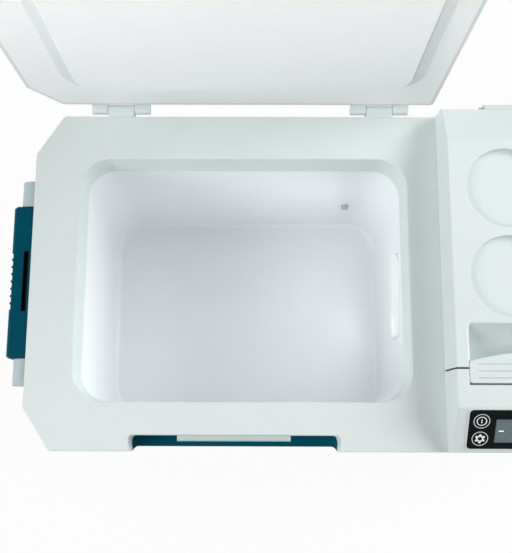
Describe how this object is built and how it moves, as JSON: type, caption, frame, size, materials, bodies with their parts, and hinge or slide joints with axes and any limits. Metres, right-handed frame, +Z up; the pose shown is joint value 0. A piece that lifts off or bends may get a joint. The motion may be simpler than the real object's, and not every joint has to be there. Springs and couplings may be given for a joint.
{
  "type": "portable cool box",
  "caption": "Portable compressor cool box with the lid standing open, an empty cold compartment, cup rests on a hinged battery cover and a folding handle at each end",
  "frame": {"origin": "on the floor, under the middle of the whole object's box with its lid standing open", "axes": "+Z is up; -Y is the side the user stands at, with the latch and the control face; -X is the cold compartment's end and +X the machine end"},
  "size_m": [0.662, 0.374, 0.6732],
  "materials": {
    "teal_plastic": "moulded, fine even grain",
    "pale_plastic": "moulded, satin",
    "grey_plastic": "moulded, satin",
    "liner_plastic": "formed, smooth and slightly glossy",
    "lid_white": "formed, smooth",
    "foam": "rigid closed-cell foam",
    "sheet_steel": "galvanised sheet",
    "black_paint": "baked paint, semi-gloss",
    "aluminium": "mill finish",
    "copper": "drawn tube",
    "steel": "drawn bar",
    "rubber": "matt moulded",
    "grey_rubber": "soft extruded",
    "black_plastic": "moulded, satin",
    "dark_plastic": "moulded, satin",
    "fascia_black": "smooth, semi-gloss",
    "window": "smoked clear window",
    "board": "laminate with solder mask",
    "lens": "milky diffuser"
  },
  "bodies": {
    "cabinet": {"outer_casing": "teal_plastic", "top_frame": "pale_plastic", "latch_keeper": "grey_plastic", "inner_liner": "liner_plastic", "evaporator_coil": "aluminium", "insulation_foam": "foam", "bulkhead": "sheet_steel", "base_tray": "sheet_steel", "compressor": "black_paint", "compressor_mounts": "rubber", "condenser": "aluminium", "fan_frame": "black_plastic", "discharge_line": "copper", "suction_line": "copper", "vent_grille_front": "dark_plastic", "vent_grille_rear": "dark_plastic", "battery_bay": "dark_plastic", "battery_terminal_left": "black_plastic", "battery_terminal_right": "black_plastic", "cover_seal": "rubber", "console_housing": "pale_plastic", "display_fascia": "fascia_black", "display_window": "window", "control_board": "board", "cover_hinge_pin": "steel", "lid_hinge_pin_left": "steel", "lid_hinge_pin_right": "steel", "interior_light_lens": "lens", "temperature_sensor": "steel", "power_inlet": "black_plastic", "inlet_cover_pin": "steel", "skirt_screws": "steel", "foot_front_left": "rubber", "foot_front_right": "rubber", "foot_rear_left": "rubber", "foot_rear_right": "rubber", "handle_bracket_left": "grey_plastic", "handle_bracket_right": "grey_plastic", "handle_pin_left": "steel", "handle_pin_right": "steel"},
    "lid": {"lid_outer": "pale_plastic", "lid_inner": "lid_white", "lid_foam": "foam", "lid_gasket": "grey_rubber", "latch_pin": "steel"},
    "lid_latch": {"latch_flap": "teal_plastic"},
    "cover": {"battery_cover": "pale_plastic", "cover_latch_pin": "steel"},
    "pull_tab": {"cover_latch": "pale_plastic"},
    "fan": {"fan_rotor": "black_plastic"},
    "power_key": {"power_button": "fascia_black"},
    "settings_key": {"settings_button": "fascia_black"},
    "warmer_key": {"temp_up_button": "fascia_black"},
    "cooler_key": {"temp_down_button": "fascia_black"},
    "carry_left": {"handle_left": "teal_plastic", "strap_liner_left": "black_plastic"},
    "carry_right": {"handle_right": "teal_plastic", "strap_liner_right": "black_plastic"},
    "inlet_flap": {"inlet_cover": "rubber"}
  },
  "joints": [
    {"name": "lid_hinge", "type": "hinge", "parent": "cabinet", "child": "lid", "pos_m": [-0.103, 0.15035, 0.3358], "axis": [1, 0, 0], "range_deg": [0, 90]},
    {"name": "lid_latch_pivot", "type": "hinge", "parent": "lid", "child": "lid_latch", "pos_m": [-0.10275, 0.17995, 0.6657], "axis": [1, 0, 0], "range_deg": [-40, 0], "stiffness_Nm_per_rad": 0.15},
    {"name": "cover_hinge", "type": "hinge", "parent": "cabinet", "child": "cover", "pos_m": [0.19925, 0.14785, 0.345], "axis": [1, 0, 0], "range_deg": [-95, 0]},
    {"name": "pull_tab_pivot", "type": "hinge", "parent": "cover", "child": "pull_tab", "pos_m": [0.19925, -0.10845, 0.3666], "axis": [1, 0, 0], "range_deg": [0, 22], "stiffness_Nm_per_rad": 0.1},
    {"name": "power_key_press", "type": "slide", "parent": "cabinet", "child": "power_key", "axis": [0, 0.5431, -0.8397], "range_m": [0, 0.0008], "stiffness_N_per_m": 600},
    {"name": "settings_key_press", "type": "slide", "parent": "cabinet", "child": "settings_key", "axis": [0, 0.5431, -0.8397], "range_m": [0, 0.0008], "stiffness_N_per_m": 600},
    {"name": "warmer_key_press", "type": "slide", "parent": "cabinet", "child": "warmer_key", "axis": [0, 0.5431, -0.8397], "range_m": [0, 0.0008], "stiffness_N_per_m": 600},
    {"name": "cooler_key_press", "type": "slide", "parent": "cabinet", "child": "cooler_key", "axis": [0, 0.5431, -0.8397], "range_m": [0, 0.0008], "stiffness_N_per_m": 600},
    {"name": "fan_spin", "type": "hinge", "parent": "cabinet", "child": "fan", "pos_m": [0.19925, 0.08835, 0.115], "axis": [0, 1, 0], "continuous": true},
    {"name": "left_handle_swing", "type": "hinge", "parent": "cabinet", "child": "carry_left", "pos_m": [-0.3145, -0.01965, 0.292], "axis": [0, 1, 0], "range_deg": [0, 85]},
    {"name": "right_handle_swing", "type": "hinge", "parent": "cabinet", "child": "carry_right", "pos_m": [0.3145, -0.01965, 0.292], "axis": [0, 1, 0], "range_deg": [-85, 0]},
    {"name": "inlet_flap_hinge", "type": "hinge", "parent": "cabinet", "child": "inlet_flap", "pos_m": [0.13725, 0.14075, 0.288], "axis": [1, 0, 0], "range_deg": [0, 110]}
  ]
}
